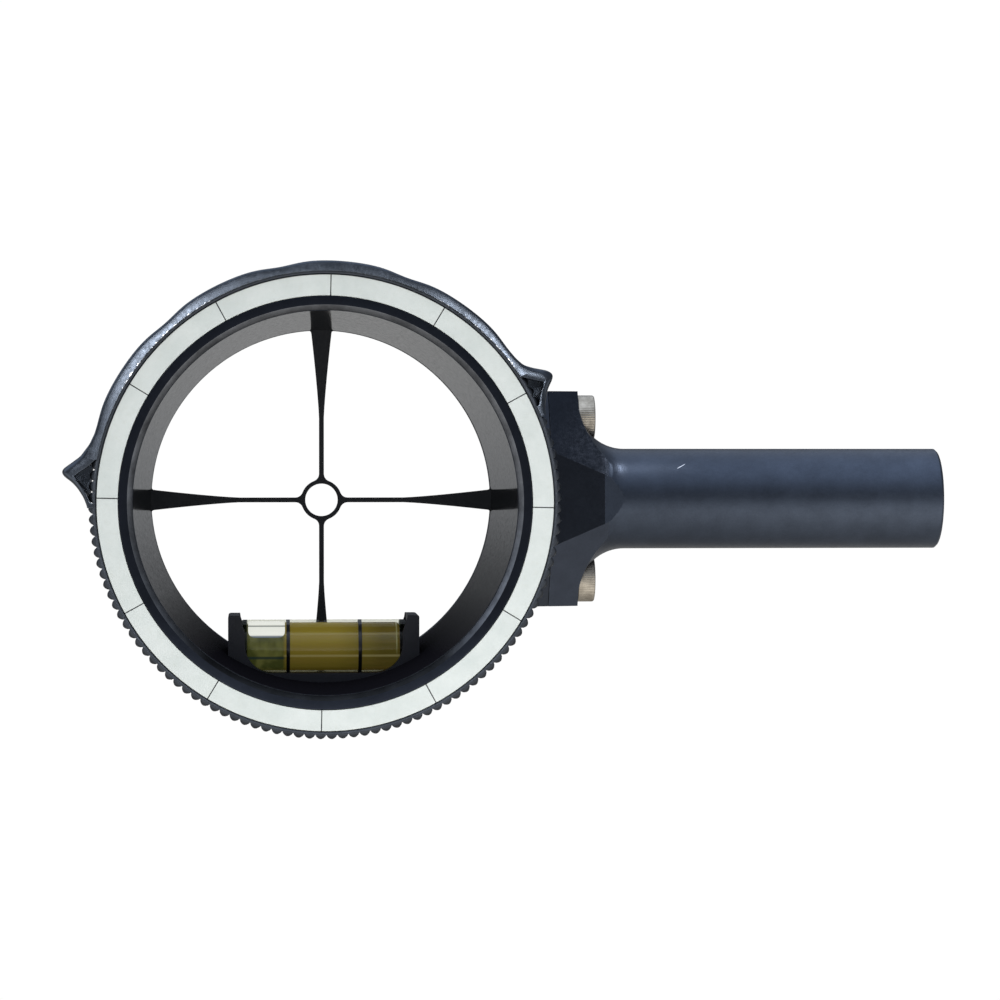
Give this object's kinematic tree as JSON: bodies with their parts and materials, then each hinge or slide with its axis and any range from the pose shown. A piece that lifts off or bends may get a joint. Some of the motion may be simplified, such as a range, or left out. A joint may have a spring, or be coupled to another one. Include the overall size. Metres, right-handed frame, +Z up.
{
  "type": "sighting ring with level vial",
  "caption": "Round sighting ring with a vaned crosshair, a level vial, and a turning graduated grip ring, on a flanged side stem.",
  "frame": {"origin": "centre of the stem's end face, where it meets the end stop of its socket", "axes": "+X out of the stem's end, away from the ring, +Y along the ring's axis from the graduated front to the rear, +Z up, away from the level vial"},
  "size_m": [0.1043, 0.0308, 0.0553],
  "materials": {
    "anodised_body": "satin black anodised with a blue cast",
    "anodised_ring": "satin black anodised, knurled",
    "anodised_cover": "semi-gloss dark grey anodised",
    "anodised_bezel": "satin black anodised",
    "reticle_black": "matt black",
    "scale_pale": "pale satin enamel with fine dark marks",
    "screw_steel": "turned and plated",
    "holder_plastic": "moulded black",
    "vial_clear": "clear cast acrylic",
    "vial_liquid": "clear olive yellow liquid",
    "bubble_air": "clear",
    "line_ink": "black filled line",
    "seal_rubber": "black, greased",
    "glide_plastic": "natural white glide plastic"
  },
  "bodies": {
    "housing": {"housing_tube": "anodised_body", "front_bezel": "anodised_bezel", "friction_o_ring": "seal_rubber", "thrust_washer": "glide_plastic", "reticle": "reticle_black", "reticle_retaining_ring": "anodised_body", "stem": "anodised_body", "flange_screw_upper": "screw_steel", "flange_screw_lower": "screw_steel", "vial_holder": "holder_plastic", "vial_tube": "vial_clear", "vial_plug": "vial_clear", "vial_liquid": "vial_liquid", "vial_line_left": "line_ink", "vial_line_right": "line_ink", "holder_screw_left": "screw_steel", "holder_screw_right": "screw_steel"},
    "grip_ring": {"knurled_ring": "anodised_ring", "scale_ring": "scale_pale", "grip_cover": "anodised_cover", "cover_screw_left": "screw_steel", "cover_screw_right": "screw_steel"},
    "bubble": {"vial_bubble": "bubble_air"}
  },
  "joints": [
    {"name": "ring_turn", "type": "hinge", "parent": "housing", "child": "grip_ring", "pos_m": [-0.0741, -0.009, -0.00028], "axis": [0, 1, 0], "continuous": true},
    {"name": "bubble_travel", "type": "slide", "parent": "housing", "child": "bubble", "axis": [1, 0, 0], "range_m": [0, 0.0136]}
  ]
}
